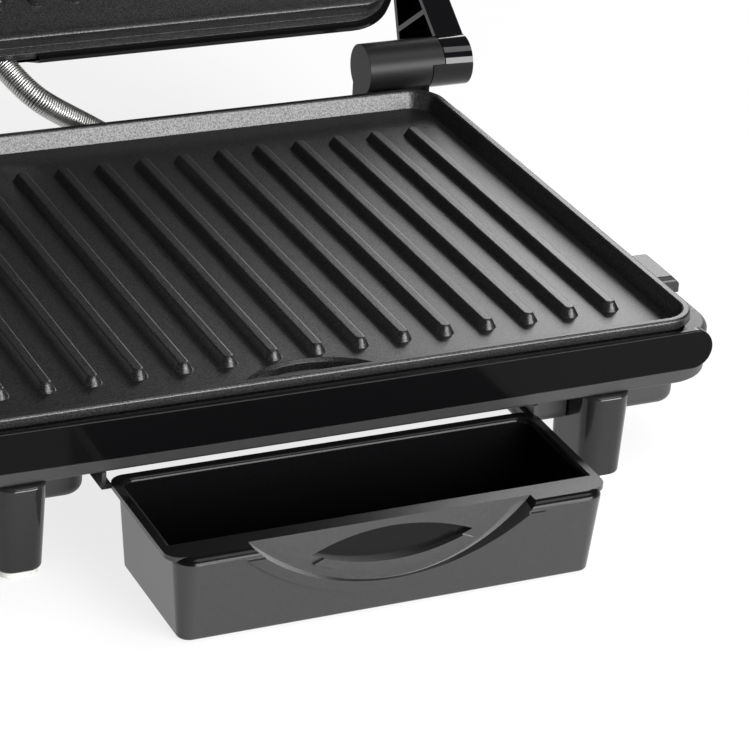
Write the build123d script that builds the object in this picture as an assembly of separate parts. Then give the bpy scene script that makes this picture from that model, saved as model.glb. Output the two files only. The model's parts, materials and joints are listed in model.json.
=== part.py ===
"""Electric contact grill, lid open and drip tray drawn out. Sizes in mm, +Z up, +Y to the rear."""
import os
from math import acos, atan, atan2, cos, degrees, hypot, radians, sin, sqrt, tan

from build123d import *

# Cooking plates
RIB_PITCH = 17.0
RIB_WIDTH = 7.5
RIB_HEIGHT = 3.5
RIB_DRAFT = 28.0
RIB_ROUND = 1.1
TROUGH_FRONT = 20.3
TROUGH_REAR = 24.3
TROUGH_SIDE = 10.5
RIM_RISE = 3.5
UPPER_RIM_RISE = 2.5
RIM_WIDTH = 3.2
RIM_DRAFT = 2.5
UPPER_RIM_DRAFT = 1.0
RIM_ROUND = 1.1
RIM_LIP = 3.7
PLATE_WIDTH = 302.0
PLATE_DEPTH = 237.0
PLATE_CORNER = 14.0
LOWER_FLOOR = 4.2
UPPER_FLOOR = 3.0
SKIRT_INSET = 3.0
NEST_GAP = 2.8
NEST_GAP_REAR = 7.3
FLANGE = 3.5
RIB_GAP = 3.0
DRAIN_RADIUS = 35.0
DRAIN_GAP = 2.0
DRAIN_EDGE = 1.2

# Base housing
LEG_HEIGHT = 35.5
BODY_HEIGHT = 18.3
BODY_SIDE = 9.0
BODY_NOSE = 2.5
BODY_TAIL = 5.5
BODY_CORNER = 20.0
BODY_EDGE = 2.6
WALL = 2.8
PLATE_GAP = 3.0
SEAT_CLEAR = 1.5
LEDGE = 8.0
LEDGE_THICK = 2.0
FIT = 0.3

# Front fascia
FASCIA_INSET = 6.5
FASCIA_HEIGHT = 15.6
FASCIA_OVER = 3.5
FASCIA_THICK = 1.6
FASCIA_BOW = 1.5
FASCIA_BACK = 8.0
FASCIA_EDGE = 0.6

# Bottom cover, legs and pads
COVER_THICK = 2.2
POD_INSET = 10.0
POD_SETBACK = 13.0
POD_TAIL = 20.0
POD_DROP = 15.5
POD_CORNER = 8.0
POD_WALL = 2.2
POD_EDGE = 4.0
LEG_OFF = 4.5
LEG_AHEAD = 3.0
LEG_TAIL = 7.0
LEG_WIDTH = 19.0
LEG_DEPTH = 32.0
LEG_CORNER = 7.0
LEG_TAPER = 2.0
LEG_FOOT_ROUND = 1.5
PAD_HEIGHT = 2.2
PAD_INSET = 2.4
COVER_SCREW_INSET = 24.0

# Drip tray and its rails
TRAY_LIFT = 0.8
TRAY_TOP = 33.0
TRAY_WIDTH = 154.0
TRAY_DEPTH = 57.0
TRAY_CORNER = 4.5
TRAY_DRAFT = 5.0
TRAY_WALL = 2.2
TRAY_REST = 2.5
TRAY_NOSE = 10.0
TRAY_LIP = 2.0
TRAY_LIP_CORNER = 6.0
TRAY_FLANGE_THICK = 1.8
TRAY_BEAD = 2.0
TRAY_FLANGE_REAR = 1.2
TRAY_FLANGE_FRONT = 1.0
TRAY_FOOT_ROUND = 1.2
TRAY_BROW = 3.0
SCOOP_RADIUS = 79.0
SCOOP_DIP = 20.0
SCOOP_FOOT = 1.0
SCOOP_LAND = 6.0
CRESCENT_WIDTH = 4.0
CRESCENT_PROUD = 1.2
FINGER_LENGTH = 60.0
FINGER_HEIGHT = 11.5
FINGER_DEPTH = 2.6
FINGER_UP = 2.6
FINGER_LIP = 3.0
FINGER_PROUD = 1.4
RAIL_GRIP = 1.8
RAIL_THICK = 2.0
RAIL_WEB = 1.6
RAIL_LENGTH = 76.0

# Drain chute
CHUTE_CLEAR = 1.0
CHUTE_WALL = 1.8

# Hinge
HINGE_BACK = 8.3
HINGE_RISE = 8.4
BARREL_RADIUS = 10.8
BARREL_LENGTH = 29.1
STEP_LENGTH = 5.7
STEP_INNER = 5.0
STEP_START = 60.0
STEP_ARC = 106.0
STEP_REST_GAP = 0.8
JOINT_GAP = 0.4
PIN_RADIUS = 4.0
PIN_CLEAR = 0.05
PIN_COVER = 2.5
POST_DEPTH = 18.4
POST_INSET = 1.6
POST_FOOT = 2.5
OPEN_ANGLE = 145.5

# Arms and handle
ARM_GAP = 8.4
ARM_THICK = 12.8
ARM_DROP = 8.1
STRAP_HEIGHT = 18.0
ARM_WALL = 2.5
ARM_SKIN = 2.8
HUMP_HEIGHT = 25.9
HUMP_NEAR = 8.0
HUMP_FAR = 28.8
HUMP_FOOT = 52.0
HUMP_ROUND = 5.0
GUSSET = 2.2
GRIP_AHEAD = 31.0
GRIP_RADIUS = 11.0
GRIP_WALL = 3.0
GRIP_END = 12.5
SPIGOT_LENGTH = 9.0
PIVOT_Y = 5.0
PIVOT_RADIUS = 2.8
PIVOT_BOSS = 5.0
PIVOT_SEAT = 7.0
LID_LEAN = 2.0

# Lid
LID_WALL = 2.4
LID_CORNER = 25.0
LID_LIP = 1.0
LID_BAND = 2.5
LID_DOME = 38.0
LID_SLOPE = 17.7
LID_SLOPE_REAR = 30.0
LID_TOP_CORNER = 14.0
LID_ROUND = 6.0
FRAME_THICK = 4.0
FRAME_RING = 20.0
LID_SCREW_INSET = 13.0

# Spring conduit
CONDUIT_RADIUS = 5.2
CONDUIT_ROOT = 4.7
CONDUIT_BORE = 3.6
CONDUIT_PITCH = 1.0
CONDUIT_X = -26.6
CONDUIT_LEAN = 0.3735
CONDUIT_INSIDE = 18.0
CONDUIT_OUTSIDE = 9.0
CONDUIT_FIT = 0.35
CONDUIT_TURN = 22.0
CONDUIT_HANG_X = -12.5
CONDUIT_HANG_BACK = 5.7
CONDUIT_HANG_RISE = 3.5
CONDUIT_SAG_X = 3.0
CONDUIT_SAG_BACK = 3.5
CONDUIT_SAG_DROP = 5.0
CONDUIT_RUN = 8.0
GLAND_X = 30.0
GLAND_LENGTH = 16.0
GLAND_DEPTH = 16.5
GLAND_HALF = 7.5
GLAND_DROP = 17.7
GLAND_OUT = 9.0
GROMMET_HALF = 14.7
GROMMET_DEPTH = 15.0

# Heating, wiring and fasteners
TUBE_RADIUS = 3.25
TUBE_SIDE = 34.0
TUBE_FRONT = 16.0
TUBE_REAR = 12.0
TUBE_BEND = 25.0
REST_GAP = 0.2
SHEET = 0.8
REFLECTOR_INSET = 6.0
REFLECTOR_AHEAD = 4.7
REFLECTOR_DEPTH = 6.6
REFLECTOR_CORNER = 12.0
REFLECTOR_LAP = 4.0
THERMOSTAT_RADIUS = 8.0
THERMOSTAT_HEIGHT = 10.0
FUSE_RADIUS = 2.2
FUSE_LENGTH = 14.0
TERMINAL = 12.0
BUSH_RADIUS = 4.4
BUSH_FLANGE = 5.8
BUSH_LENGTH = 12.0
BUSH_BORE = 3.2
BUSH_X = -70.0
SCREW_RADIUS = 1.5
SCREW_HEAD = 2.9
SCREW_HEAD_HEIGHT = 1.8
SCREW_LENGTH = 8.0
BOSS_RADIUS = 3.4

# Plate release levers
LEVER_Y = -50.0
LEVER_LENGTH = 24.0
LEVER_HEIGHT = 6.8
LEVER_RISE = 2.7
LEVER_OUT = 12.0
LEVER_STEM = 12.0
LEVER_TRAVEL = 6.0
LEVER_SLOPE = 3.0
LUG_LENGTH = 4.0
LUG_OUT = 2.2
LUG_HEIGHT = 2.0
HOOK_THICK = 1.5
SLIDE_FIT = 0.5


def slab(width, depth, corner, low, high, shift=0.0, taper=0.0):
    """Upright rounded block, centred on X."""
    return Pos(0, shift, low) * extrude(RectangleRounded(width, depth, corner), high - low, taper=taper)


def block(x0, x1, y0, y1, z0, z1):
    """Box between two corners."""
    return Pos((x0 + x1) / 2, (y0 + y1) / 2, (z0 + z1) / 2) * Box(x1 - x0, y1 - y0, z1 - z0)


def rod_x(radius, x0, x1, y, z):
    """Cylinder along X."""
    return Pos((x0 + x1) / 2, y, z) * Rot(0, 90, 0) * Cylinder(radius, x1 - x0)


def rod_y(radius, x, y0, y1, z):
    """Cylinder along Y."""
    return Pos(x, (y0 + y1) / 2, z) * Rot(90, 0, 0) * Cylinder(radius, y1 - y0)


def rod_z(radius, x, y, z0, z1):
    """Cylinder along Z."""
    return Pos(x, y, (z0 + z1) / 2) * Cylinder(radius, z1 - z0)


def left(part):
    """The left-hand copy of a right-hand piece."""
    return mirror(part, about=Plane.YZ)


def group(parts):
    """Like pieces kept as separate solids of one node."""
    return Compound([solid for part in parts for solid in part.solids()])


def turned(y, z, angle):
    """Turn about the line along X through (y, z)."""
    return Pos(0, y, z) * Rot(angle, 0, 0) * Pos(0, -y, -z)


# Levels and outlines that follow from the sizes above
body_low = LEG_HEIGHT
body_top = body_low + BODY_HEIGHT
rim_under = body_top + PLATE_GAP
rib_top = rim_under + RIM_LIP - RIM_RISE
floor_top = rib_top - RIB_HEIGHT
plate_low = floor_top - LOWER_FLOOR
deck_low = plate_low - LEDGE_THICK
cover_top = body_low + COVER_THICK
pod_low = body_low - POD_DROP

wall_foot = RIM_WIDTH + RIM_DRAFT
rib_length = PLATE_DEPTH - 2 * wall_foot - TROUGH_FRONT - TROUGH_REAR
rib_room = PLATE_WIDTH - 2 * (wall_foot + TROUGH_SIDE) - RIB_WIDTH
rib_count = int(rib_room / RIB_PITCH) + 1
plate_front = -rib_length / 2 - TROUGH_FRONT - wall_foot
plate_rear = plate_front + PLATE_DEPTH
plate_mid = (plate_front + plate_rear) / 2
skirt_width = PLATE_WIDTH - 2 * SKIRT_INSET
skirt_depth = PLATE_DEPTH - 2 * SKIRT_INSET
skirt_corner = PLATE_CORNER - SKIRT_INSET
inner_front = plate_front + wall_foot
drain_rear = -rib_length / 2 - DRAIN_GAP
drain_chord = sqrt(DRAIN_RADIUS ** 2 - (inner_front - drain_rear + DRAIN_RADIUS) ** 2)

body_width = PLATE_WIDTH + 2 * BODY_SIDE
body_half = body_width / 2
body_front = plate_front - BODY_NOSE
body_rear = plate_rear + BODY_TAIL
body_depth = body_rear - body_front
body_mid = (body_front + body_rear) / 2

tray_flare = (TRAY_TOP - TRAY_LIFT) * tan(radians(TRAY_DRAFT))
tray_half = TRAY_WIDTH / 2 + tray_flare + TRAY_LIP

hinge_y = body_rear + HINGE_BACK
hinge_z = rib_top + HINGE_RISE

upper_half = PLATE_WIDTH / 2 - RIM_WIDTH - NEST_GAP
upper_front = plate_front + RIM_WIDTH + NEST_GAP
upper_rear = plate_rear - RIM_WIDTH - NEST_GAP_REAR
upper_depth = upper_rear - upper_front
upper_mid = (upper_front + upper_rear) / 2
upper_floor = rib_top + RIB_GAP + RIB_HEIGHT
upper_back = upper_floor + UPPER_FLOOR
lid_half = upper_half + FLANGE + FIT + LID_WALL
lid_width = 2 * lid_half
lid_depth = upper_depth + 2 * (FLANGE + FIT + LID_WALL)
lid_front = upper_mid - lid_depth / 2
lid_rear = upper_mid + lid_depth / 2
lid_low = upper_floor + LID_LIP
band_top = lid_low + LID_BAND
frame_top = upper_back + FRAME_THICK

arm_in = lid_half + ARM_GAP
arm_out = arm_in + ARM_THICK
strap_low = hinge_z - ARM_DROP
strap_mid = strap_low + STRAP_HEIGHT / 2
strap_top = strap_low + STRAP_HEIGHT
grip_y = lid_front - GRIP_AHEAD
lug_end = arm_in - JOINT_GAP
step_face = lug_end - STEP_LENGTH
barrel_in = step_face - BARREL_LENGTH

open_arms = turned(hinge_y, hinge_z, -OPEN_ANGLE)
open_lid = open_arms * turned(PIVOT_Y, strap_mid, -LID_LEAN)

nodes = {}


def ribbed_plate(width, depth, shift, floor, rise, slope):
    """Cooking plate with its rib tops at z = 0: floor, rim raised above the ribs, and ribs."""
    low = -RIB_HEIGHT
    draft = degrees(atan(slope / (RIB_HEIGHT + rise)))
    foot = RIM_WIDTH + slope
    plate = slab(width, depth, PLATE_CORNER, low - floor, rise, shift)
    plate -= slab(width - 2 * foot, depth - 2 * foot, PLATE_CORNER - foot, low, rise, shift, -draft)
    plate = fillet(plate.edges().group_by(Axis.Z)[-1], RIM_ROUND)
    bar = extrude(SlotOverall(rib_length, RIB_WIDTH, rotation=90), RIB_HEIGHT, taper=RIB_DRAFT)
    bar = fillet(bar.edges().group_by(Axis.Z)[-1], RIB_ROUND)
    first = -(rib_count - 1) * RIB_PITCH / 2
    return plate + [Pos(first + i * RIB_PITCH, 0, low) * bar for i in range(rib_count)]


# Lower cooking plate
lower_plate = ribbed_plate(PLATE_WIDTH, PLATE_DEPTH, plate_mid, LOWER_FLOOR, RIM_RISE, RIM_DRAFT)
lower_plate = Pos(0, 0, rib_top) * lower_plate
lip_cut = slab(PLATE_WIDTH + 2 * WALL, PLATE_DEPTH + 2 * WALL, PLATE_CORNER + WALL, plate_low, rim_under,
               plate_mid)
lip_cut -= slab(skirt_width, skirt_depth, skirt_corner, plate_low, rim_under, plate_mid)
drain = rod_z(DRAIN_RADIUS, 0, drain_rear - DRAIN_RADIUS, plate_low, floor_top)
drain_flare = Cone(DRAIN_RADIUS, DRAIN_RADIUS + DRAIN_EDGE, DRAIN_EDGE)
drain += Pos(0, drain_rear - DRAIN_RADIUS, floor_top - DRAIN_EDGE / 2) * drain_flare
drain &= block(-2 * DRAIN_RADIUS, 2 * DRAIN_RADIUS, inner_front, drain_rear + DRAIN_EDGE, plate_low, floor_top)
skirt_side = skirt_width / 2
lug = block(skirt_side, skirt_side + LUG_OUT, LEVER_Y - LUG_LENGTH / 2, LEVER_Y + LUG_LENGTH / 2,
            plate_low, plate_low + LUG_HEIGHT)
lower_plate = lower_plate - lip_cut - drain + lug + left(lug)
nodes["lower_grill_plate"] = lower_plate

# Plate release levers
lever_top = deck_low - SLIDE_FIT
lever_low = lever_top - LEVER_HEIGHT
lever_face = body_half + SLIDE_FIT
lever_in = skirt_side + LUG_OUT + SLIDE_FIT
hook_low = plate_low + LUG_HEIGHT + REST_GAP
hook_half = LUG_LENGTH / 2 + SLIDE_FIT
stem_half = LEVER_STEM / 2
tab = block(lever_face, lever_face + LEVER_OUT, LEVER_Y - LEVER_LENGTH / 2, LEVER_Y + LEVER_LENGTH / 2,
            lever_low + LEVER_RISE, lever_top + LEVER_RISE)
tab = chamfer(tab.edges().filter_by(Axis.Y).sort_by(lambda e: e.center().X + e.center().Z)[-1], LEVER_SLOPE)
tab = chamfer(tab.edges().filter_by(Axis.X).group_by(Axis.Z)[-1], LEVER_SLOPE / 2)
lever = tab + block(lever_in, lever_face, LEVER_Y - stem_half, LEVER_Y + stem_half, lever_low, lever_top)
lever += block(lever_in, lever_in + WALL, LEVER_Y - hook_half, LEVER_Y + hook_half, lever_top, hook_low)
lever += block(skirt_side + SLIDE_FIT, lever_in + WALL, LEVER_Y - hook_half, LEVER_Y + hook_half,
               hook_low, hook_low + HOOK_THICK)
nodes["release_lever_right"] = lever
nodes["release_lever_left"] = left(lever)
slot_front = LEVER_Y - stem_half - SLIDE_FIT
slot_rear = LEVER_Y + stem_half + LEVER_TRAVEL + SLIDE_FIT
lever_slot = block(body_half - 2 * WALL, body_half + WALL, slot_front, slot_rear, lever_low - SLIDE_FIT,
                   lever_top + SLIDE_FIT)
lever_slot += block(skirt_side, lever_in + WALL + SLIDE_FIT, slot_front, slot_rear, deck_low, body_top)

# Base housing
body = slab(body_width, body_depth, BODY_CORNER, body_low, body_top, body_mid)
body = fillet(body.edges().group_by(Axis.Z)[-1], BODY_EDGE)
body = fillet(body.edges().group_by(Axis.Z)[0], BODY_EDGE / 2)
body -= slab(body_width - 2 * WALL, body_depth - 2 * WALL, BODY_CORNER - WALL, body_low, plate_low, body_mid)
body -= slab(skirt_width + 2 * SEAT_CLEAR, skirt_depth + 2 * SEAT_CLEAR, skirt_corner + SEAT_CLEAR,
             plate_low, body_top, plate_mid)
body = body - lever_slot - left(lever_slot)

# Seat frame under the plate, held between the housing's top and the screw bosses
inner_width = body_width - 2 * (WALL + FIT)
inner_depth = body_depth - 2 * (WALL + FIT)
inner_corner = BODY_CORNER - WALL - FIT
seat = slab(inner_width, inner_depth, inner_corner, deck_low, plate_low, body_mid)
seat -= slab(skirt_width - 2 * LEDGE, skirt_depth - 2 * LEDGE, skirt_corner, deck_low, plate_low, plate_mid)
chute_front = inner_front - CHUTE_WALL
chute_rear = drain_rear + CHUTE_WALL
chute_bore_half = drain_chord + CHUTE_CLEAR
chute_half = chute_bore_half + CHUTE_WALL
seat_notch = block(-chute_half - FIT, chute_half + FIT, body_front, chute_rear + FIT, deck_low, plate_low)
nodes["plate_seat"] = seat - lever_slot - left(lever_slot) - seat_notch

# Drain chute from the plate down to the tray
chute = block(-chute_half, chute_half, chute_front, chute_rear, cover_top, plate_low)
chute_bore = block(-chute_bore_half, chute_bore_half, inner_front, drain_rear, body_low, plate_low)
nodes["drain_chute"] = chute - chute_bore

# Front fascia
fascia_top = body_top + FASCIA_OVER
fascia_length = body_width - 2 * FASCIA_INSET
bow_radius = ((fascia_length / 2) ** 2 + FASCIA_BOW ** 2) / (2 * FASCIA_BOW)
fascia_depth = FASCIA_THICK + FASCIA_BOW + FASCIA_BACK
fascia = extrude(SlotOverall(fascia_length, FASCIA_HEIGHT), fascia_depth)
fascia = Pos(0, body_front + FASCIA_BACK, fascia_top - FASCIA_HEIGHT / 2) * Rot(90, 0, 0) * fascia
bow_y = body_front - FASCIA_THICK - FASCIA_BOW + bow_radius
fascia &= Pos(0, bow_y, body_low) * Cylinder(bow_radius, 5 * FASCIA_HEIGHT)
fascia = fillet(fascia.faces().sort_by(Axis.Y)[0].edges(), FASCIA_EDGE)
fascia -= slab(body_width, body_depth, BODY_CORNER, body_low, fascia_top, body_mid)
nodes["front_fascia"] = fascia

# Bottom cover with the two pods, the legs and their pads
pod_in = tray_half + FIT + RAIL_WEB
pod_out = body_half - POD_INSET
pod_wide = pod_out - pod_in
pod_x = (pod_in + pod_out) / 2
leg_x = pod_x - LEG_OFF
leg_front = body_front - LEG_AHEAD + LEG_DEPTH / 2
leg_rear = body_rear - LEG_TAIL - LEG_DEPTH / 2
pod_front = body_front + POD_SETBACK
pod_rear = body_rear - POD_TAIL
pod_long = pod_rear - pod_front
pod_mid = (pod_front + pod_rear) / 2
pod = extrude(RectangleRounded(pod_wide, pod_long, POD_CORNER), cover_top - pod_low)
pod = Pos(pod_x, pod_mid, pod_low) * fillet(pod.edges().group_by(Axis.Z)[0], POD_EDGE)
pod_room = extrude(RectangleRounded(pod_wide - 2 * POD_WALL, pod_long - 2 * POD_WALL, POD_CORNER - POD_WALL),
                   cover_top - pod_low - POD_WALL)
pod_room = Pos(pod_x, pod_mid, pod_low + POD_WALL) * pod_room
cover = slab(inner_width, inner_depth, inner_corner, body_low, cover_top, body_mid)
cover = cover + pod + left(pod) - pod_room - left(pod_room) - chute_bore

leg_sketch = RectangleRounded(LEG_WIDTH, LEG_DEPTH, LEG_CORNER)
leg = Rot(180, 0, 0) * extrude(leg_sketch, body_low - PAD_HEIGHT, taper=LEG_TAPER)
leg = fillet(leg.edges().group_by(Axis.Z)[0], LEG_FOOT_ROUND)
pad = extrude(RectangleRounded(LEG_WIDTH - 2 * PAD_INSET, LEG_DEPTH - 2 * PAD_INSET, LEG_CORNER - PAD_INSET),
              PAD_HEIGHT)
leg_places = [(x, y) for x in (-leg_x, leg_x) for y in (leg_front, leg_rear)]
leg_way = extrude(RectangleRounded(LEG_WIDTH + 2 * FIT, LEG_DEPTH + 2 * FIT, LEG_CORNER + FIT), body_low)
cover -= [Pos(x, y, 0) * leg_way for x, y in leg_places]
nodes["legs"] = group([Pos(x, y, body_low) * leg for x, y in leg_places])
nodes["foot_pads"] = group([Pos(x, y, 0) * pad for x, y in leg_places])

# Cover screws in bosses under the deck
cover_screw_x = body_half - WALL - BOSS_RADIUS + FIT
cover_rows = (body_front + COVER_SCREW_INSET, body_mid, body_rear - COVER_SCREW_INSET)
cover_places = [(x, y) for x in (-cover_screw_x, cover_screw_x) for y in cover_rows]
screw = rod_z(SCREW_RADIUS, 0, 0, 0, SCREW_LENGTH) + rod_z(SCREW_HEAD, 0, 0, -SCREW_HEAD_HEIGHT, 0)
hole_top = body_low + SCREW_LENGTH + FIT
cover_holes = [rod_z(SCREW_RADIUS + PIN_CLEAR, x, y, body_low, hole_top) for x, y in cover_places]
body += [rod_z(BOSS_RADIUS, x, y, cover_top, deck_low) for x, y in cover_places]
body -= cover_holes
cover -= cover_holes
nodes["cover_screws"] = group([Pos(x, y, body_low) * screw for x, y in cover_places])

# Drip tray, drawn out, and its rails
tray_rear = body_front - TRAY_REST
tray_mid = tray_rear - TRAY_DEPTH / 2
tray_front = tray_rear - TRAY_DEPTH
tray_inside_front = tray_front + TRAY_NOSE
tray = slab(TRAY_WIDTH, TRAY_DEPTH, TRAY_CORNER, TRAY_LIFT, TRAY_TOP, tray_mid, -TRAY_DRAFT)
tray = fillet(tray.edges().group_by(Axis.Z)[0], TRAY_FOOT_ROUND)
brow = tray.edges().group_by(Axis.Z)[-1].filter_by(Axis.X).sort_by(Axis.Y)[0]
tray = fillet(brow, TRAY_BROW)
flange_front = tray_front + TRAY_FLANGE_FRONT
flange_rear = tray_rear + tray_flare + TRAY_FLANGE_REAR
flange_top = slab(2 * tray_half, flange_rear - flange_front, TRAY_LIP_CORNER, TRAY_TOP - TRAY_FLANGE_THICK,
                  TRAY_TOP, (flange_front + flange_rear) / 2)
tray_room = slab(TRAY_WIDTH - 2 * TRAY_WALL, TRAY_DEPTH - 2 * TRAY_WALL, TRAY_CORNER - TRAY_WALL,
                 TRAY_LIFT + TRAY_WALL, TRAY_TOP, tray_mid, -TRAY_DRAFT)
tray_room &= block(-TRAY_WIDTH, TRAY_WIDTH, tray_inside_front, body_front, 0, TRAY_TOP)
tray = tray + flange_top - tray_room
mouth = tray.faces().sort_by(Axis.Z)[-1].inner_wires()[0].edges().sort_by(Axis.Y)[1:]
tray = fillet(mouth, TRAY_BEAD)
crescent_top = TRAY_TOP - TRAY_BROW
scoop_start = tray_front - SCOOP_DIP
scoop_z = TRAY_TOP - SCOOP_DIP + SCOOP_RADIUS
round_cut = rod_y(SCOOP_RADIUS, 0, scoop_start, body_front, scoop_z)
crescent = rod_y(SCOOP_RADIUS + CRESCENT_WIDTH, 0, scoop_start, body_front, scoop_z) - round_cut
crescent &= slab(TRAY_WIDTH, TRAY_DEPTH + 2 * CRESCENT_PROUD, TRAY_CORNER, TRAY_LIFT, crescent_top, tray_mid,
                 -TRAY_DRAFT)
crescent &= block(-TRAY_WIDTH, TRAY_WIDTH, scoop_start, tray_front + TRAY_WALL, TRAY_LIFT, crescent_top)
scoop_top = tray_inside_front - SCOOP_LAND
scoop_run = scoop_top - (tray_front - SCOOP_FOOT)
scoop_plane = Plane(origin=(0, scoop_top, TRAY_TOP), x_dir=(1, 0, 0), z_dir=(0, -SCOOP_DIP, scoop_run))
ahead = scoop_plane * Pos(0, 0, SCOOP_RADIUS) * Box(4 * SCOOP_RADIUS, 4 * SCOOP_RADIUS, 2 * SCOOP_RADIUS)
finger_radius = ((FINGER_LENGTH / 2) ** 2 + (FINGER_HEIGHT / 2) ** 2) / FINGER_HEIGHT
finger = Pos(0, finger_radius - FINGER_HEIGHT / 2) * Circle(finger_radius)
finger &= Pos(0, FINGER_HEIGHT / 2 - finger_radius) * Circle(finger_radius)
finger_at = scoop_plane * Pos(0, -FINGER_HEIGHT / 2 - FINGER_UP, 0)
finger_lip = finger_at * Pos(0, -FINGER_LIP, 0) * extrude(finger, FINGER_PROUD)
tray = tray + crescent - (round_cut & ahead) + finger_lip
tray -= finger_at * extrude(finger, FINGER_DEPTH, both=True)
nodes["drip_tray"] = tray

rail_top = TRAY_TOP - TRAY_FLANGE_THICK - FIT
rail_front = body_front + FIT
rail_web_in = tray_half + FIT
rail = block(rail_web_in, pod_in, rail_front, rail_front + RAIL_LENGTH, rail_top - RAIL_THICK, body_low)
rail += block(tray_half - RAIL_GRIP + FIT, pod_in, rail_front, rail_front + RAIL_LENGTH,
              rail_top - RAIL_THICK, rail_top)
nodes["tray_rail_right"] = rail
nodes["tray_rail_left"] = left(rail)

# Hinge brackets, pins and screws
step_mid = (STEP_INNER + BARREL_RADIUS) / 2


def stop_lug(x0, x1, start, arc):
    """Ring sector round the hinge axis, from the start angle over the arc."""
    cut = Pos((x0 + x1) / 2, step_mid) * Rectangle(x1 - x0, BARREL_RADIUS - STEP_INNER)
    return Pos(0, hinge_y, hinge_z) * Rot(start, 0, 0) * revolve(cut, Axis.X, arc)


pin_end = arm_out - PIN_COVER
bracket = rod_x(BARREL_RADIUS, barrel_in, step_face, hinge_y, hinge_z)
post_in = barrel_in + POST_INSET
bracket += block(post_in, step_face, body_rear, body_rear + POST_DEPTH, body_low + POST_FOOT, hinge_z)
bracket += stop_lug(step_face - JOINT_GAP, lug_end, STEP_START, STEP_ARC)
bracket -= rod_x(PIN_RADIUS + PIN_CLEAR, barrel_in + PIN_COVER, arm_in, hinge_y, hinge_z)
hinge_pin = rod_x(PIN_RADIUS, barrel_in + PIN_COVER, pin_end, hinge_y, hinge_z)
hinge_rows = (barrel_in + BOSS_RADIUS + PIN_COVER, step_face - BOSS_RADIUS - PIN_COVER)
hinge_screw_z = (body_low + POST_FOOT + deck_low) / 2
hinge_head = body_rear + POST_DEPTH
hinge_tip = body_rear - WALL - PIN_COVER
hinge_bores = [rod_y(SCREW_RADIUS + PIN_CLEAR, x, hinge_tip, hinge_head, hinge_screw_z) for x in hinge_rows]
hinge_back = hinge_head + SCREW_HEAD_HEIGHT
hinge_screws = [rod_y(SCREW_RADIUS, x, hinge_tip, hinge_head, hinge_screw_z)
                + rod_y(SCREW_HEAD, x, hinge_head, hinge_back, hinge_screw_z) for x in hinge_rows]
bracket -= hinge_bores
body = body - hinge_bores - [left(bore) for bore in hinge_bores]
nodes["hinge_bracket_right"] = bracket
nodes["hinge_bracket_left"] = left(bracket)
nodes["hinge_pin_right"] = hinge_pin
nodes["hinge_pin_left"] = left(hinge_pin)
nodes["hinge_screws"] = group(hinge_screws + [left(part) for part in hinge_screws])

# Conduit gland block and mains bush on the rear wall
gland_y = body_rear + GLAND_OUT
gland_z = rib_top - GLAND_DROP
gland_end = GLAND_X + GLAND_LENGTH
gland_low = gland_z - GLAND_HALF
gland = block(GLAND_X, gland_end, body_rear, body_rear + GLAND_DEPTH, gland_low, gland_low + 2 * GLAND_HALF)
gland = fillet(gland.edges().filter_by(Axis.Z).group_by(Axis.Y)[-1], POD_EDGE)
gland -= rod_x(CONDUIT_RADIUS + CONDUIT_FIT, GLAND_X, gland_end - WALL, gland_y, gland_z)
nodes["conduit_gland"] = gland
bush_z = (cover_top + deck_low) / 2
bush = rod_y(BUSH_RADIUS, BUSH_X, body_rear - BUSH_LENGTH / 2, body_rear + BUSH_LENGTH, bush_z)
bush += rod_y(BUSH_FLANGE, BUSH_X, body_rear, body_rear + WALL, bush_z)
bush -= rod_y(BUSH_BORE, BUSH_X, body_rear - BUSH_LENGTH, body_rear + BUSH_LENGTH, bush_z)
body -= rod_y(BUSH_RADIUS + FIT, BUSH_X, body_rear - BUSH_LENGTH, body_rear, bush_z)
nodes["mains_bush"] = bush
nodes["base_housing"] = body

# Heating and wiring of the base
deck_open = skirt_depth / 2 - LEDGE
reflector_half = skirt_width / 2 - LEDGE - REFLECTOR_INSET
reflector_rear = plate_mid + deck_open - REFLECTOR_INSET
reflector_front = chute_rear + REFLECTOR_AHEAD
reflector_flange = REFLECTOR_INSET + REFLECTOR_LAP
tube_half = reflector_half - TUBE_SIDE
tube_front = reflector_front + TUBE_FRONT
tube_rear = reflector_rear - TUBE_REAR


def heater(level):
    """Sheathed heating tube bent into a U, its axis at the level."""
    path = FilletPolyline((-tube_half, tube_rear, level), (-tube_half, tube_front, level),
                          (tube_half, tube_front, level), (tube_half, tube_rear, level), radius=TUBE_BEND)
    return sweep(Plane(origin=path @ 0, z_dir=path % 0) * Circle(TUBE_RADIUS), path)


def reflector(front, rear, flange_at, depth_down):
    """Sheet dish whose flange lies at flange_at; its bottom lies depth_down below it."""
    mid = (front + rear) / 2
    long = rear - front
    low = flange_at - depth_down
    dish = slab(2 * reflector_half, long, REFLECTOR_CORNER, low, flange_at, mid)
    dish += slab(2 * (reflector_half + reflector_flange), long + 2 * reflector_flange, REFLECTOR_CORNER,
                 flange_at - SHEET, flange_at, mid)
    return dish - slab(2 * (reflector_half - SHEET), long - 2 * SHEET, REFLECTOR_CORNER - SHEET, low + SHEET,
                       flange_at, mid)


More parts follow.
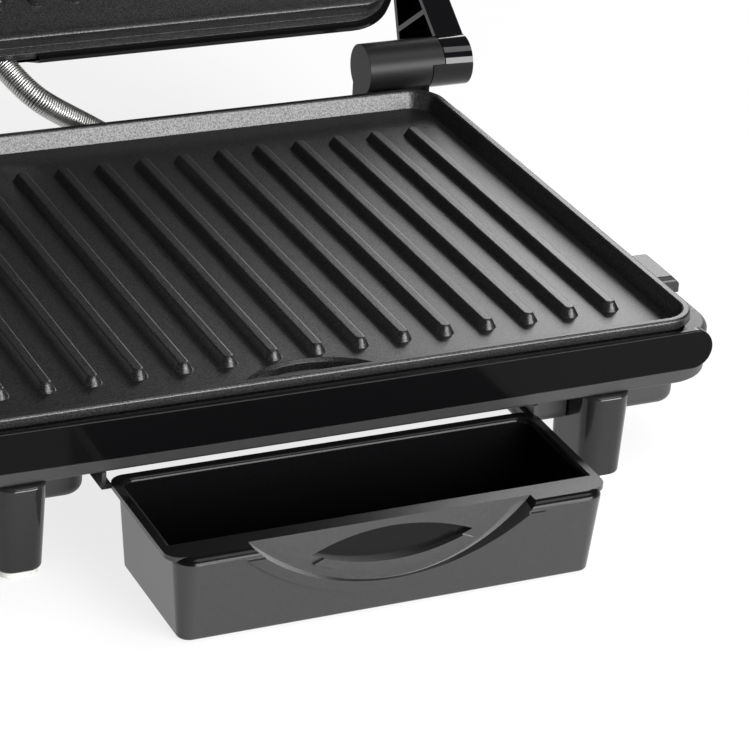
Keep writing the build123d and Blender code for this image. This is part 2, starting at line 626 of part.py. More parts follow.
nodes["lower_heating_element"] = heater(plate_low - REST_GAP - TUBE_RADIUS)
lower_reflector = reflector(reflector_front, reflector_rear, deck_low, REFLECTOR_DEPTH)
lower_reflector &= block(-body_half, body_half, reflector_front, body_rear, body_low, body_top)
nodes["lower_reflector"] = lower_reflector
dish_low = deck_low - REFLECTOR_DEPTH
nodes["thermostat"] = rod_z(THERMOSTAT_RADIUS, pod_x, TERMINAL * 2, dish_low - THERMOSTAT_HEIGHT, dish_low)
nodes["thermal_fuse"] = rod_y(FUSE_RADIUS, pod_x, -FUSE_LENGTH, 0, dish_low - FUSE_RADIUS - REST_GAP)
nodes["terminal_block"] = block(-pod_x - TERMINAL, -pod_x + TERMINAL, -TERMINAL, TERMINAL,
                                pod_low + POD_WALL, pod_low + POD_WALL + TERMINAL)
nodes["bottom_cover"] = cover

# Arms in the closed pose, the hump running smoothly into the hinge round
blend = atan2(HUMP_HEIGHT, -HUMP_NEAR) - acos(BARREL_RADIUS / hypot(HUMP_NEAR, HUMP_HEIGHT))
arm_points = [(hinge_y, strap_low), (grip_y, strap_low), (grip_y, strap_top), (hinge_y - HUMP_FOOT, strap_top),
              (hinge_y - HUMP_FAR, hinge_z + HUMP_HEIGHT), (hinge_y - HUMP_NEAR, hinge_z + HUMP_HEIGHT),
              (hinge_y + BARREL_RADIUS * cos(blend), hinge_z + BARREL_RADIUS * sin(blend))]
side = Plane(origin=(arm_in, 0, 0), x_dir=(0, 1, 0), z_dir=(1, 0, 0))
profile = make_face(Polyline(*arm_points, close=True))
profile = fillet(profile.vertices().group_by(Axis.Y)[-1], HUMP_ROUND)
outline = profile + Pos(hinge_y, hinge_z) * Circle(BARREL_RADIUS)
outline = outline + Pos(grip_y, strap_mid) * Circle(GRIP_END)
hollow = offset(profile, -ARM_WALL)
hollow -= Pos(hinge_y, hinge_z) * Circle(BARREL_RADIUS)
hollow -= Pos(PIVOT_Y, strap_mid) * Circle(PIVOT_SEAT)
hollow -= Pos(grip_y, strap_mid) * Circle(GRIP_END)
gusset = Rectangle(GUSSET, 2 * HUMP_HEIGHT, rotation=20)
hollow -= Pos(hinge_y - HUMP_FAR, hinge_z + HUMP_HEIGHT / 2) * gusset
arm = side * extrude(outline, ARM_THICK) - side * extrude(hollow, ARM_THICK - ARM_SKIN)
arm_lug_start = STEP_START + STEP_ARC + STEP_REST_GAP + OPEN_ANGLE
arm += stop_lug(step_face + JOINT_GAP, arm_in + JOINT_GAP, arm_lug_start, STEP_ARC)
arm -= rod_x(PIN_RADIUS + PIN_CLEAR, step_face, pin_end + PIN_CLEAR, hinge_y, hinge_z)
arm -= rod_x(PIVOT_RADIUS + PIN_CLEAR, arm_in, pin_end, PIVOT_Y, strap_mid)
spigot_radius = GRIP_RADIUS - GRIP_WALL - REST_GAP
arm += rod_x(spigot_radius, arm_in - SPIGOT_LENGTH, arm_in + JOINT_GAP, grip_y, strap_mid)

grip_screw_x = arm_in - SPIGOT_LENGTH / 2
grip_tip = grip_y + GRIP_RADIUS - GRIP_WALL - SPIGOT_LENGTH / 2
grip_seat = grip_y + GRIP_RADIUS - SCREW_HEAD_HEIGHT
grip_hole = rod_y(SCREW_RADIUS + PIN_CLEAR, grip_screw_x, grip_tip, grip_y + GRIP_RADIUS, strap_mid)
grip_recess = rod_y(SCREW_HEAD + PIN_CLEAR, grip_screw_x, grip_seat, grip_y + GRIP_RADIUS, strap_mid)
grip_screw = rod_y(SCREW_RADIUS, grip_screw_x, grip_tip, grip_seat, strap_mid)
grip_screw += rod_y(SCREW_HEAD, grip_screw_x, grip_seat, grip_y + GRIP_RADIUS - REST_GAP, strap_mid)
arm -= grip_hole
grip = rod_x(GRIP_RADIUS, -arm_in, arm_in, grip_y, strap_mid)
grip -= rod_x(GRIP_RADIUS - GRIP_WALL, -arm_in, arm_in, grip_y, strap_mid)
grip = grip - grip_hole - grip_recess - left(grip_hole) - left(grip_recess)
boss_in = lid_half - LID_WALL + REST_GAP
pivot_pin = rod_x(PIVOT_RADIUS, lid_half, pin_end - PIN_CLEAR, PIVOT_Y, strap_mid)
nodes["arm_right"] = open_arms * arm
nodes["arm_left"] = open_arms * left(arm)
nodes["handle_grip"] = open_arms * grip
nodes["handle_screws"] = group([open_arms * grip_screw, open_arms * left(grip_screw)])
nodes["pivot_pin_right"] = open_arms * pivot_pin
nodes["pivot_pin_left"] = open_arms * left(pivot_pin)

# Lid in the closed pose: plate, housing, frame
upper_plate = ribbed_plate(2 * upper_half, upper_depth, upper_mid, UPPER_FLOOR, UPPER_RIM_RISE, UPPER_RIM_DRAFT)
upper_plate = Pos(0, 0, upper_floor - RIB_HEIGHT) * mirror(upper_plate, about=Plane.XY)
upper_plate += slab(2 * (upper_half + FLANGE), upper_depth + 2 * FLANGE, LID_CORNER - LID_WALL - FIT,
                    upper_floor, upper_back, upper_mid)
nodes["upper_grill_plate"] = open_lid * upper_plate

room_width = lid_width - 2 * LID_WALL
room_depth = lid_depth - 2 * LID_WALL


def dome(inset):
    """The lid's form above its band, or its room where inset is the wall."""
    foot = RectangleRounded(lid_width - 2 * inset, lid_depth - 2 * inset, LID_CORNER - inset)
    crown_depth = lid_depth - LID_SLOPE - LID_SLOPE_REAR
    crown = RectangleRounded(lid_width - 2 * (LID_SLOPE + inset), crown_depth - 2 * inset, LID_TOP_CORNER - inset)
    crown_at = Pos(0, upper_mid + (LID_SLOPE - LID_SLOPE_REAR) / 2, band_top + LID_DOME - inset)
    return loft([Pos(0, upper_mid, band_top) * foot, crown_at * crown])


lid_skin = dome(0)
lid_skin = fillet(lid_skin.edges().group_by(Axis.Z)[-1], LID_ROUND)
lid_skin += slab(lid_width, lid_depth, LID_CORNER, lid_low, band_top, upper_mid)
lid_room = dome(LID_WALL) + slab(room_width, room_depth, LID_CORNER - LID_WALL, lid_low, band_top, upper_mid)
frame_width = room_width - 2 * FIT
frame_depth = room_depth - 2 * FIT
frame = slab(frame_width, frame_depth, LID_CORNER - LID_WALL - FIT, upper_back, frame_top, upper_mid)
frame &= lid_room
frame -= slab(frame_width - 2 * FRAME_RING, frame_depth - 2 * FRAME_RING, PLATE_CORNER, upper_back, frame_top,
              upper_mid)
lid_screw_x = frame_width / 2 - LID_SCREW_INSET
lid_screw_y = frame_depth / 2 - LID_SCREW_INSET
lid_places = [(x, upper_mid + y) for x in (-lid_screw_x, lid_screw_x) for y in (-lid_screw_y, lid_screw_y)]
head_top = upper_back + SCREW_HEAD_HEIGHT + REST_GAP
lid_screws = [Pos(x, y, head_top) * screw for x, y in lid_places]
bore_top = head_top + SCREW_LENGTH + FIT
lid_bores = [rod_z(SCREW_RADIUS + PIN_CLEAR, x, y, head_top, bore_top) for x, y in lid_places]
lid_recess = [rod_z(SCREW_HEAD + FIT, x, y, upper_back, head_top) for x, y in lid_places]
bosses = [rod_z(BOSS_RADIUS, x, y, frame_top, band_top + LID_DOME) & lid_skin for x, y in lid_places]
lid = lid_skin - lid_room + bosses - lid_bores
pivot_boss = rod_x(PIVOT_BOSS, boss_in, arm_in - JOINT_GAP, PIVOT_Y, strap_mid)
pivot_boss -= rod_x(PIVOT_RADIUS + PIN_CLEAR, lid_half - PIN_CLEAR, arm_in, PIVOT_Y, strap_mid)
lid = lid + pivot_boss + left(pivot_boss)
frame = frame - lid_bores - lid_recess

# Conduit grommet in a notch of the frame and a cut-out of the lid's rear wall
conduit_z = upper_back + CONDUIT_RADIUS + REST_GAP * 2
conduit_way = Plane(origin=(CONDUIT_X, lid_rear, conduit_z), x_dir=(0, 0, 1), z_dir=(CONDUIT_LEAN, 1, 0))
notch_x = CONDUIT_X - CONDUIT_LEAN * GROMMET_DEPTH / 2
notch_low = lid_rear - LID_WALL - 2 * FIT - FRAME_RING
grommet_top = conduit_z + CONDUIT_RADIUS + POD_WALL
notch = block(notch_x - GROMMET_HALF, notch_x + GROMMET_HALF, notch_low, lid_rear, upper_back, frame_top)
grommet_in = notch_x - GROMMET_HALF + FIT
grommet_out = notch_x + GROMMET_HALF - FIT
grommet_front = lid_rear - GROMMET_DEPTH
grommet = block(grommet_in, grommet_out, grommet_front, lid_rear, upper_back, grommet_top)
grommet &= lid_room
grommet -= conduit_way * Cylinder(CONDUIT_RADIUS + CONDUIT_FIT, 6 * GROMMET_DEPTH)
window = block(grommet_in, grommet_out, grommet_front, lid_rear + WALL, lid_low, grommet_top)
nodes["lid_housing"] = open_lid * (lid - window)
nodes["lid_frame"] = open_lid * (frame - notch)
nodes["conduit_grommet"] = open_lid * grommet
nodes["lid_screws"] = group([open_lid * part for part in lid_screws])
upper_heater = heater(upper_back + REST_GAP + TUBE_RADIUS)
nodes["upper_heating_element"] = open_lid * upper_heater
upper_reflector = reflector(reflector_front, reflector_rear - FRAME_RING, 0, REFLECTOR_DEPTH)
upper_reflector = mirror(upper_reflector, about=Plane.XY)
upper_reflector &= block(-body_half, body_half, reflector_front - FRAME_RING, lid_rear - 2 * FRAME_RING,
                         -SHEET, LID_DOME)
nodes["upper_reflector"] = open_lid * Pos(0, 0, frame_top) * upper_reflector

# Spring conduit from lid to base: ribbed hose along its own route
inside = (conduit_way * Pos(0, 0, -CONDUIT_INSIDE)).position
outside = (conduit_way * Pos(0, 0, CONDUIT_OUTSIDE)).position
route = [(open_lid * Pos(*inside)).position, (open_lid * Pos(*outside)).position]
route += [Vector(CONDUIT_HANG_X, hinge_y + CONDUIT_HANG_BACK, rib_top + CONDUIT_HANG_RISE),
          Vector(CONDUIT_SAG_X, hinge_y + CONDUIT_SAG_BACK, rib_top - CONDUIT_SAG_DROP)]
route += [Vector(GLAND_X - CONDUIT_RUN, gland_y, gland_z), Vector(gland_end - WALL - FIT, gland_y, gland_z)]
path = FilletPolyline(*route, radius=CONDUIT_TURN)
turns = int(path.length / CONDUIT_PITCH)
bend = (path % 0).cross(path % 1)
wave = ((0.0, CONDUIT_ROOT), (0.3, CONDUIT_RADIUS), (0.6, CONDUIT_RADIUS), (0.9, CONDUIT_ROOT))
rings = []
for turn in range(turns):
    for share, radius in wave:
        at = (turn + share) / turns
        tangent = path % at
        rings.append(Plane(origin=path @ at, x_dir=bend.cross(tangent), z_dir=tangent) * Circle(radius))
hose = loft(rings, ruled=True)
bore_start = Plane(origin=path @ 0, z_dir=path % 0)
hose -= sweep(bore_start * Circle(CONDUIT_BORE), path)
nodes["conduit"] = hose

# Centre the whole on X and Y and write the pieces
boxes = [part.bounding_box() for part in nodes.values()]
front = min(box.min.Y for box in boxes)
rear = max(box.max.Y for box in boxes)
centre = (front + rear) / 2
os.makedirs("parts", exist_ok=True)
for name, part in nodes.items():
    export_step(Pos(0, -centre, 0) * part, f"parts/{name}.step")
print(f"centre {centre:.4f}")
print(f"hinge {hinge_y - centre:.4f} {hinge_z:.4f}")
pivot = (open_arms * Pos(0, PIVOT_Y, strap_mid)).position
print(f"pivot {pivot.Y - centre:.4f} {pivot.Z:.4f}")
print(f"arm_in {arm_in:.4f} body_half {body_half:.4f} lid_half {lid_half:.4f}")
print(f"travel of tray {body_front - tray_front:.4f}")
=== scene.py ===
"""Dresses the countertop grill: finishes, eased edges, the wound steel conduit, floor, light and camera."""
import json
from math import pi, radians

import bmesh
import bpy
from mathutils import Matrix, Vector


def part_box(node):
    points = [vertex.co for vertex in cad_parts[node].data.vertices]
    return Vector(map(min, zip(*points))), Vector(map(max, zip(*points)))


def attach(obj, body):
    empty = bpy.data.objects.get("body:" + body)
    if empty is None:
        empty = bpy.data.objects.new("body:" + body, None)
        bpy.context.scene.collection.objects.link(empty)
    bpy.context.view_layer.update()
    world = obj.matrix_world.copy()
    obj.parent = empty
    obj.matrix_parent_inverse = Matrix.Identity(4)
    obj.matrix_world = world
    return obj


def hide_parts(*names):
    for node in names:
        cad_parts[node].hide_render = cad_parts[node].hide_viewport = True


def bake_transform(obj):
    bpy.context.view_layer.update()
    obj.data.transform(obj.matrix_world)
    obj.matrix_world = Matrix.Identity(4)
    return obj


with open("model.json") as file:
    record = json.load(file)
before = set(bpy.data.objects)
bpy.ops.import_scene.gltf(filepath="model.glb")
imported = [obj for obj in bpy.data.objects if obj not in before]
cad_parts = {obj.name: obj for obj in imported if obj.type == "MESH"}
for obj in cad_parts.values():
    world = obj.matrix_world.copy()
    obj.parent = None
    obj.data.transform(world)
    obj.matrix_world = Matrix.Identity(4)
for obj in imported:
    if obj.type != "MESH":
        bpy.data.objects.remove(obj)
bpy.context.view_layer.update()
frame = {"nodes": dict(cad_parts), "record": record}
MM = 0.001
scene = bpy.context.scene
scene.view_settings.view_transform = "Standard"


def srgb(code):
    """Linear colour from an sRGB hex value."""
    parts = [int(code[i:i + 2], 16) / 255 for i in (1, 3, 5)]
    linear = (c / 12.92 if c <= 0.04045 else ((c + 0.055) / 1.055) ** 2.4 for c in parts)
    return (*linear, 1.0)


def add(tree, kind, wires=None, values=None, **settings):
    """One node with its settings, its fixed values and the sockets wired into it."""
    made = tree.nodes.new(kind)
    for name, value in settings.items():
        setattr(made, name, value)
    for name, value in (values or {}).items():
        made.inputs[name].default_value = value
    for name, source in (wires or {}).items():
        tree.links.new(source, made.inputs[name])
    return made


def finish(name, colour, roughness, **sockets):
    """A material whose even values sit on the shader's own sockets."""
    made = bpy.data.materials.new(name)
    made.use_nodes = True
    shader = made.node_tree.nodes["Principled BSDF"]
    shader.inputs["Base Color"].default_value = srgb(colour)
    shader.inputs["Roughness"].default_value = roughness
    for socket, value in sockets.items():
        shader.inputs[socket.replace("_", " ")].default_value = value
    return made, made.node_tree, shader


# Shares of the grain's height between which colour and gloss change
COLOUR_SPAN = (0.35, 0.65)
GLOSS_SPAN = (0.3, 0.7)
GRAIN_ROUGHNESS = 0.6


def grain(tree, shader, size_mm, height_mm, dark=None, light=None, rough=None, detail=3.0):
    """Fine surface grain: bump, with colour and gloss that follow it where they are given."""
    place = add(tree, "ShaderNodeTexCoord")
    speck = add(tree, "ShaderNodeTexNoise", {"Vector": place.outputs["Object"]},
                {"Scale": 1 / (size_mm * MM), "Detail": detail, "Roughness": GRAIN_ROUGHNESS})
    bump = add(tree, "ShaderNodeBump", {"Height": speck.outputs["Fac"]},
               {"Strength": 1.0, "Distance": height_mm * MM})
    tree.links.new(bump.outputs["Normal"], shader.inputs["Normal"])
    if dark:
        ramp = add(tree, "ShaderNodeValToRGB", {"Fac": speck.outputs["Fac"]})
        for stop, position, colour in zip(ramp.color_ramp.elements, COLOUR_SPAN, (dark, light)):
            stop.position = position
            stop.color = srgb(colour)
        tree.links.new(ramp.outputs["Color"], shader.inputs["Base Color"])
    if rough:
        span = add(tree, "ShaderNodeMapRange", {"Value": speck.outputs["Fac"]},
                   {"From Min": GLOSS_SPAN[0], "From Max": GLOSS_SPAN[1],
                    "To Min": rough[0], "To Max": rough[1]})
        tree.links.new(span.outputs["Result"], shader.inputs["Roughness"])
    return speck


# Non-stick coating sprayed on cast aluminium: charcoal, with fine flecks that break up its sheen
coating, tree, shader = finish("nonstick_coated_aluminium", "#1b1b1c", 0.34)
speck = grain(tree, shader, 0.65, 0.03, "#111112", "#1c1c1d", (0.28, 0.4), 2.0)
flecks = add(tree, "ShaderNodeMapRange", {"Value": speck.outputs["Fac"]},
             {"From Min": 0.36, "From Max": 0.64, "To Min": 0.24, "To Max": 0.72})
tree.links.new(flecks.outputs["Result"], shader.inputs["Specular IOR Level"])

# Moulded ABS with a satin spark texture: soft grey sheen, no clear reflections
satin, tree, shader = finish("satin_moulded_abs", "#2a2a2b", 0.42)
grain(tree, shader, 0.45, 0.012, "#262627", "#2e2e2f", (0.36, 0.48))

# Polished ABS of arms and handle: near black and mirror-like, with a moulded face's faint waviness
polished, tree, shader = finish("polished_black_abs", "#08080a", 0.07, Specular_IOR_Level=0.32)
grain(tree, shader, 9.0, 0.006, detail=1.0)

# Smoke-polished ABS of fascia and lid, also put on the hinge posts as painted shade: deeper black and a
# weaker mirror than the arms
smoked, tree, shader = finish("smoke_polished_abs", "#09090a", 0.1, Specular_IOR_Level=0.08)
grain(tree, shader, 12.0, 0.006, detail=1.0)

# Satin polypropylene of the legs: dark grey with a soft vertical sheen
leg_plastic, tree, shader = finish("satin_polypropylene", "#1e1e1f", 0.13, Specular_IOR_Level=0.35)
grain(tree, shader, 0.8, 0.001, "#1d1d1e", "#202021", (0.12, 0.15))

# Satin ABS of the tray: smooth dark grey outside, paler where it faces the white floor
tray_plastic, tree, shader = finish("satin_grey_abs", "#2a2a2b", 0.16)
grain(tree, shader, 1.2, 0.001, "#29292a", "#2c2c2d", (0.14, 0.19))

# Inside of the tray: the same plastic painted near black, painted shade standing for the deep shade inside
# the tray
tray_shade_paint, tree, shader = finish("tray_painted_shade", "#080809", 0.18, Specular_IOR_Level=0.15)
grain(tree, shader, 0.5, 0.004, "#060607", "#0a0a0b", (0.15, 0.22))

# Silicone rubber pads: pale and matt
silicone, tree, shader = finish("pale_silicone_rubber", "#d6d6d3", 0.6)
grain(tree, shader, 0.8, 0.01, "#d0d0cd", "#dcdcd9")

# Powder-coated zinc casting of the hinge barrels: matt near black, finely pebbled
powder, tree, shader = finish("powder_coated_zinc", "#131314", 0.4, Specular_IOR_Level=0.2)
grain(tree, shader, 0.6, 0.008, "#111112", "#161617", (0.36, 0.44))

# Spring steel wire, close wound and polished by handling: bright grey with soft light bands
spring, tree, shader = finish("spring_steel_wire", "#b4b4b2", 0.3, Metallic=1.0)
grain(tree, shader, 4.0, 0.002, "#adadab", "#bbbbb9", (0.27, 0.34))

# Zinc-plated steel of screws and pins: cool bright grey with faint mottling
zinc, tree, shader = finish("zinc_plated_steel", "#b9babb", 0.3, Metallic=1.0)
grain(tree, shader, 1.5, 0.004, "#aeafb1", "#c2c3c4", (0.24, 0.4))

# Aluminised steel sheet of reflectors and chute: dull silver with a flaky bloom
sheet_steel, tree, shader = finish("aluminised_steel_sheet", "#a9aaab", 0.38, Metallic=1.0)
grain(tree, shader, 2.5, 0.004, "#9c9d9f", "#b4b5b6", (0.32, 0.46))

# Steatite ceramic of the electrical pieces: matt cream
steatite, tree, shader = finish("steatite_ceramic", "#d8d2c4", 0.7)
grain(tree, shader, 0.4, 0.01, "#d0cabc", "#dfd9cc")

# Black rubber of grommet and bush: matt, slightly dusty
rubber, tree, shader = finish("black_rubber", "#1b1b1b", 0.75)
grain(tree, shader, 0.6, 0.015, "#181818", "#202020")

# Satin ABS of the release levers: dark grey, its sheen faint and even
lever_plastic, tree, shader = finish("satin_lever_abs", "#2b2b2c", 0.3, Specular_IOR_Level=0.25)
grain(tree, shader, 6.0, 0.008, detail=1.0)

SLOT_FINISH = {
    "plate": coating, "body": satin, "gloss": polished, "leg": leg_plastic, "pad": silicone,
    "tray": tray_plastic, "barrel": powder, "steel": zinc, "bright": spring,
    "lever": lever_plastic, "rubber": rubber, "ceramic": steatite,
}
OTHER_FINISH = {
    "lower_reflector": sheet_steel, "upper_reflector": sheet_steel, "drain_chute": sheet_steel,
    "front_fascia": smoked, "lid_housing": smoked,
}
BEHAVIOUR = frame["record"]["behaviour"]
NODE_SLOT = {piece["node"]: piece["material_slot"] for piece in frame["record"]["subparts"]}
NODE_BODY = {name: body for body, names in BEHAVIOUR["bodies"].items() for name in names}


def finish_of(name):
    """The finish that a CAD piece wears."""
    return OTHER_FINISH.get(name, SLOT_FINISH[NODE_SLOT[name]])


for name, piece in frame["nodes"].items():
    piece.data.materials.clear()
    piece.data.materials.append(finish_of(name))


def plain_mesh(holder):
    """The holder's shape with its modifiers worked in, and the holder removed."""
    bpy.context.view_layer.update()
    worked = holder.evaluated_get(bpy.context.evaluated_depsgraph_get())
    shaped = bpy.data.meshes.new_from_object(worked)
    bpy.data.objects.remove(holder)
    return shaped


def placed(name, mesh):
    """A new object at the origin with this mesh."""
    made = bpy.data.objects.new(name, mesh)
    scene.collection.objects.link(made)
    return made


# Eased edges: corners closer than the weld gap are one, and faces within the flat angle are one
WELD_GAP = 0.003
FLAT_ANGLE = 0.5
SHARP_ANGLE = 32
EASING_STEPS = 2
FLAT_FACE_WEIGHT = 100


def eased(name, width_mm, sharp=SHARP_ANGLE):
    """A copy of a CAD piece with its sharp edges rounded a little, standing for that piece."""
    source = frame["nodes"][name].data
    mesh = bpy.data.meshes.new(name)
    mesh.from_pydata([v.co for v in source.vertices], [], [p.vertices for p in source.polygons])
    work = bmesh.new()
    work.from_mesh(mesh)
    bmesh.ops.remove_doubles(work, verts=work.verts, dist=WELD_GAP * MM)
    bmesh.ops.dissolve_limit(work, angle_limit=radians(FLAT_ANGLE), verts=work.verts,
                             edges=work.edges)
    work.to_mesh(mesh)
    work.free()
    mesh.polygons.foreach_set("use_smooth", [True] * len(mesh.polygons))
    mesh.set_sharp_from_angle(angle=radians(sharp))
    holder = placed(name + "_plain", mesh)
    bevel = holder.modifiers.new("edge", "BEVEL")
    bevel.width = width_mm * MM
    bevel.segments = EASING_STEPS
    bevel.limit_method = "ANGLE"
    bevel.angle_limit = radians(sharp)
    flat = holder.modifiers.new("flat faces", "WEIGHTED_NORMAL")
    flat.weight = FLAT_FACE_WEIGHT
    flat.keep_sharp = True
    piece = placed(name + "_eased", plain_mesh(holder))
    piece.data.materials.clear()
    piece.data.materials.append(finish_of(name))
    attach(piece, NODE_BODY[name])
    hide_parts(name)
    return piece


# Moulded and cast edges that catch the light, with their widths in mm
EDGE_WIDTH = {
    "base_housing": 0.5, "legs": 0.8, "arm_left": 0.7, "arm_right": 0.7,
    "release_lever_left": 0.5, "release_lever_right": 0.5, "lid_housing": 0.6,
    "bottom_cover": 0.5, "upper_grill_plate": 0.6, "lower_grill_plate": 0.6,
}
for name, width in EDGE_WIDTH.items():
    eased(name, width)

# Hinge brackets: pebbled barrels, with the posts painted in the smoked black as painted shade, parted at a
# reach from the hinge's axis
BRACKET_EDGE = 0.6
BARREL_REACH = 11.3
hinge = next(joint for joint in BEHAVIOUR["joints"] if joint["name"] == "arm_hinge")["pos_m"]
for name in ("hinge_bracket_left", "hinge_bracket_right"):
    bracket = eased(name, BRACKET_EDGE)
    bracket.data.materials.append(smoked)
    for face in bracket.data.polygons:
        from_axis = Vector((face.center.y - hinge[1], face.center.z - hinge[2]))
        face.material_index = int(from_axis.length > BARREL_REACH * MM)

# The tray's inside and rim get the near-black copy of its plastic, painted shade: lengths in mm from the
# tray's own box
TRAY_EDGE = 0.5
TRAY_SHARP = 14
BOWL_MIDDLE = 26
PULL_DEPTH = 11.5
RIM_HEIGHT = 2
OUTER_SKIN = 3
FACES_UP = 0.7
RIM_FACES_UP = 0.3
tray = eased("drip_tray", TRAY_EDGE, TRAY_SHARP)
low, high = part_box("drip_tray")
bowl = Vector(((low.x + high.x) / 2, high.y - BOWL_MIDDLE * MM, 0))
tray.data.materials.append(tray_shade_paint)
for face in tray.data.polygons:
    at, way = face.center, face.normal
    inward = Vector((bowl.x - at.x, bowl.y - at.y, 0))
    behind_pull = at.y > low.y + PULL_DEPTH * MM
    inside_skin = abs(at.x) < high.x - OUTER_SKIN * MM and at.y < high.y - OUTER_SKIN * MM
    in_bowl = behind_pull and inside_skin and (way.z > FACES_UP or way.dot(inward) > 0)
    on_rim = at.z > high.z - RIM_HEIGHT * MM and way.z > RIM_FACES_UP
    if on_rim or in_bowl:
        face.material_index = 1

# The finger recess in the tray's sloped pull gets the same painted shade: mm along the slope's own
# direction
PULL_FACE = 273.0
RECESS_DEPTH = (1.2, 4)
RECESS_HALF = 31
PULL_FORWARD = -0.95
PULL_SLOPE = (0.22, 0.26)
for face in tray.data.polygons:
    at, way = face.center, face.normal
    on_slope = way.y < PULL_FORWARD and PULL_SLOPE[0] < way.z < PULL_SLOPE[1]
    sunk = PULL_FACE - at.dot(way) / MM
    if on_slope and abs(at.x) < RECESS_HALF * MM and RECESS_DEPTH[0] < sunk < RECESS_DEPTH[1]:
        face.material_index = 1

# Wound conduit: one wire turned about the route from lid to base, in mm
ROUTE = [(-32.9, 66.2, 82.32), (-23.45, 44.86, 68.73), (-12.5, 41.27, 60.5), (3.0, 39.07, 52.0),
         (22.0, 36.27, 39.3), (42.9, 36.27, 39.3)]
ROUTE_ORDER = 4
ROUTE_STEPS = 16
WIND_RADIUS = 4.62
WIRE_RADIUS = 0.58
WIRE_SIDES = 8
WIND_TURNS = 96
TURN_STEPS = 32
HALFWAY = 0.44


def route_curve():
    """Smooth line along the conduit's route, with no thickness."""
    line = bpy.data.curves.new("conduit_route", "CURVE")
    line.dimensions = "3D"
    line.resolution_u = ROUTE_STEPS
    spline = line.splines.new("NURBS")
    spline.points.add(len(ROUTE) - 1)
    for point, place in zip(spline.points, ROUTE):
        point.co = (*(c * MM for c in place), 1)
    spline.order_u = ROUTE_ORDER
    spline.use_endpoint_u = True
    return placed("conduit_route", line)


def winding_tree():
    """Geometry nodes: winds a wire about a line and keeps the stretch between two shares of it."""
    tree = bpy.data.node_groups.new("conduit_winding", "GeometryNodeTree")
    tree.is_modifier = True
    face = tree.interface
    face.new_socket("Geometry", in_out="OUTPUT", socket_type="NodeSocketGeometry")
    face.new_socket("Geometry", in_out="INPUT", socket_type="NodeSocketGeometry")
    ids = {}
    for name in ("Winding Radius", "Wire Radius", "Turns", "From", "To"):
        socket = face.new_socket(name, in_out="INPUT", socket_type="NodeSocketFloat")
        ids[name] = socket.identifier
    given = add(tree, "NodeGroupInput").outputs
    line = add(tree, "GeometryNodeResampleCurve", {"Curve": given["Geometry"]},
               {"Count": WIND_TURNS * TURN_STEPS})
    share = add(tree, "GeometryNodeSplineParameter").outputs["Factor"]
    turns = add(tree, "ShaderNodeMath", {0: share, 1: given["Turns"]}, operation="MULTIPLY")
    angle = add(tree, "ShaderNodeMath", {0: turns.outputs[0]}, {1: 2 * pi}, operation="MULTIPLY")
    along = add(tree, "GeometryNodeInputTangent")
    across = add(tree, "GeometryNodeInputNormal")
    arm = add(tree, "ShaderNodeVectorRotate",
              {"Vector": across.outputs[0], "Axis": along.outputs[0], "Angle": angle.outputs[0]},
              rotation_type="AXIS_ANGLE")
    reach = add(tree, "ShaderNodeVectorMath",
                {0: arm.outputs[0], "Scale": given["Winding Radius"]}, operation="SCALE")
    wound = add(tree, "GeometryNodeSetPosition",
                {"Geometry": line.outputs[0], "Offset": reach.outputs[0]})
    part = add(tree, "GeometryNodeTrimCurve",
               {"Curve": wound.outputs[0], "Start": given["From"], "End": given["To"]})
    wire = add(tree, "GeometryNodeCurvePrimitiveCircle", {"Radius": given["Wire Radius"]},
               {"Resolution": WIRE_SIDES})
    solid = add(tree, "GeometryNodeCurveToMesh",
                {"Curve": part.outputs[0], "Profile Curve": wire.outputs[0]}, {"Fill Caps": True})
    whole = add(tree, "GeometryNodeRealizeInstances", {"Geometry": solid.outputs[0]})
    dressed = add(tree, "GeometryNodeSetMaterial", {"Geometry": whole.outputs[0]},
                  {"Material": spring})
    add(tree, "NodeGroupOutput", {"Geometry": dressed.outputs[0]})
    return tree, ids


# Each length of the conduit: its share of the route, and two bodies and two points of the route, which the
# loop below does not use
CONDUIT_LENGTHS = (
    ("conduit_upper", 0.0, HALFWAY, "arms", "lid", ROUTE[2], ROUTE[1]),
    ("conduit_lower", HALFWAY, 1.0, "base", "arms", ROUTE[4], ROUTE[2]),
)
winding, winding_ids = winding_tree()
for name, start, end, held_by, moved_by, bend_start, bend_end in CONDUIT_LENGTHS:
    holder = route_curve()
    turned = holder.modifiers.new("winding", "NODES")
    turned.node_group = winding
    for key, value in (("Winding Radius", WIND_RADIUS * MM), ("Wire Radius", WIRE_RADIUS * MM),
                       ("Turns", float(WIND_TURNS)), ("From", start), ("To", end)):
        turned[winding_ids[key]] = value
    piece = placed(name, plain_mesh(holder))
    piece.data.polygons.foreach_set("use_smooth", [True] * len(piece.data.polygons))
    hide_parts("conduit")
    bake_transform(piece)

# Floor: a white paper sheet that keeps a faint shadow and shows white to the eye and in gloss
FLOOR_SIZE = 8
FLOOR_WHITE = 0.8
bpy.ops.mesh.primitive_plane_add(size=FLOOR_SIZE)
floor = bpy.context.object
floor.name = "floor"
paper, tree, shader = finish("white_paper_sheet", "#f4f4f4", 0.9)
path = add(tree, "ShaderNodeLightPath").outputs
seen = add(tree, "ShaderNodeMath", {0: path["Is Camera Ray"], 1: path["Is Glossy Ray"]},
           operation="MAXIMUM")
seen = add(tree, "ShaderNodeMath", {0: seen.outputs[0], 1: path["Is Transmission Ray"]},
           operation="MAXIMUM")
share = add(tree, "ShaderNodeMath", {0: seen.outputs[0]}, {1: FLOOR_WHITE}, operation="MULTIPLY")
white = add(tree, "ShaderNodeEmission", values={"Color": srgb("#ffffff"), "Strength": 1.0})
sheet = add(tree, "ShaderNodeMixShader",
            {0: share.outputs[0], 1: shader.outputs[0], 2: white.outputs[0]})
tree.links.new(sheet.outputs[0], tree.nodes["Material Output"].inputs["Surface"])
floor.data.materials.append(paper)

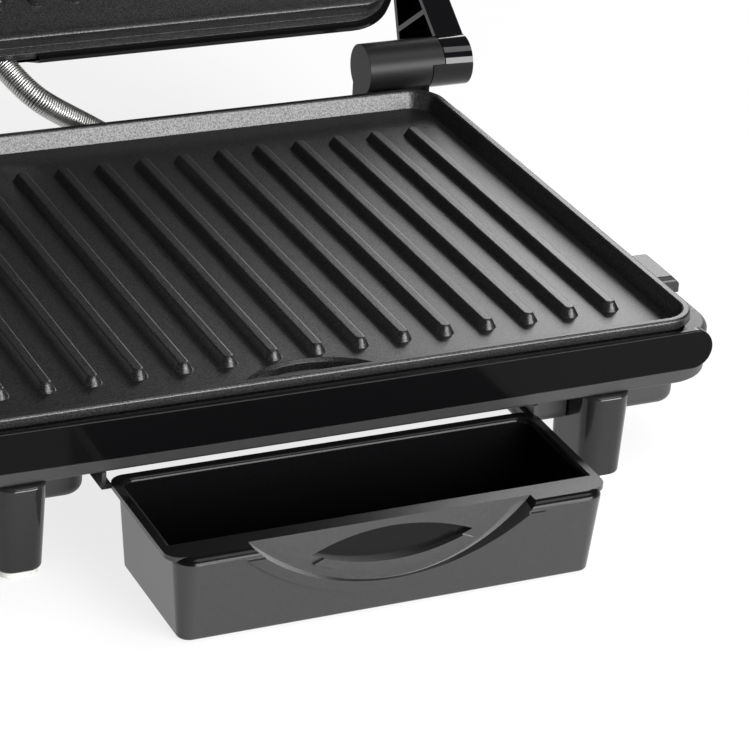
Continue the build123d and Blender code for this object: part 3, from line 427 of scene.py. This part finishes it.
# Studio world: white to the eye, a white wall under a dimmer ceiling in gloss, and soft as light
WALL_TOP = (0.04, 0.34)
CEILING = 0.12
SOFT_LIGHT = 0.35
world = bpy.data.worlds.new("studio")
world.use_nodes = True
scene.world = world
tree = world.node_tree
tree.nodes.clear()
path = add(tree, "ShaderNodeLightPath").outputs
seen = add(tree, "ShaderNodeMath", {0: path["Is Camera Ray"], 1: path["Is Transmission Ray"]},
           operation="MAXIMUM")
toward = add(tree, "ShaderNodeTexCoord").outputs["Generated"]
rise = add(tree, "ShaderNodeSeparateXYZ", {0: toward}).outputs["Z"]
wall = add(tree, "ShaderNodeMapRange", {"Value": rise},
           {"From Min": WALL_TOP[0], "From Max": WALL_TOP[1], "To Min": 1.0, "To Max": CEILING})
soft = add(tree, "ShaderNodeBackground",
           values={"Color": srgb("#ffffff"), "Strength": SOFT_LIGHT})
gloss = add(tree, "ShaderNodeBackground", {"Strength": wall.outputs["Result"]},
            {"Color": srgb("#ffffff")})
white = add(tree, "ShaderNodeBackground", values={"Color": srgb("#ffffff"), "Strength": 1.0})
lit = add(tree, "ShaderNodeMixShader",
          {0: path["Is Glossy Ray"], 1: soft.outputs[0], 2: gloss.outputs[0]})
both = add(tree, "ShaderNodeMixShader",
           {0: seen.outputs[0], 1: lit.outputs[0], 2: white.outputs[0]})
add(tree, "ShaderNodeOutputWorld", {"Surface": both.outputs[0]})


def lamp(name, place, aim, width, height, power):
    """Soft oblong lamp turned towards a point: lengths in metres, power in watts."""
    light = bpy.data.lights.new(name, "AREA")
    light.shape = "RECTANGLE"
    light.size = width
    light.size_y = height
    light.energy = power
    made = bpy.data.objects.new(name, light)
    scene.collection.objects.link(made)
    made.location = place
    made.rotation_euler = (Vector(aim) - Vector(place)).to_track_quat("-Z", "Y").to_euler()
    made.visible_camera = False


lamp("front_softbox", (0.62, -1.6, 0.52), (0, 0.02, 0.06), 1.4, 0.75, 52)
lamp("top_softbox", (0.55, -0.6, 1.4), (0, -0.05, 0.05), 1.0, 0.7, 9)
lamp("rear_right_softbox", (1.3, 1.45, 0.85), (0.05, -0.05, 0.05), 0.7, 0.7, 11)

# Camera at the photograph's viewing angle
CAMERA_PLACE = (-0.43356, -1.14012, 0.56841)
CAMERA_YAW, CAMERA_PITCH, CAMERA_ROLL = 26.04, 26.443, -3.842
SENSOR_WIDTH = 36
LENS_LENGTH = 157.07
eye = bpy.data.cameras.new("camera")
eye.sensor_width = SENSOR_WIDTH
eye.lens = LENS_LENGTH
camera = bpy.data.objects.new("camera", eye)
scene.collection.objects.link(camera)
turn = Matrix.Rotation(radians(-CAMERA_YAW), 3, "Z")
turn = turn @ Matrix.Rotation(radians(90 - CAMERA_PITCH), 3, "X")
turn = turn @ Matrix.Rotation(radians(-CAMERA_ROLL), 3, "Z")
camera.matrix_world = Matrix.Translation(CAMERA_PLACE) @ turn.to_4x4()
scene.camera = camera
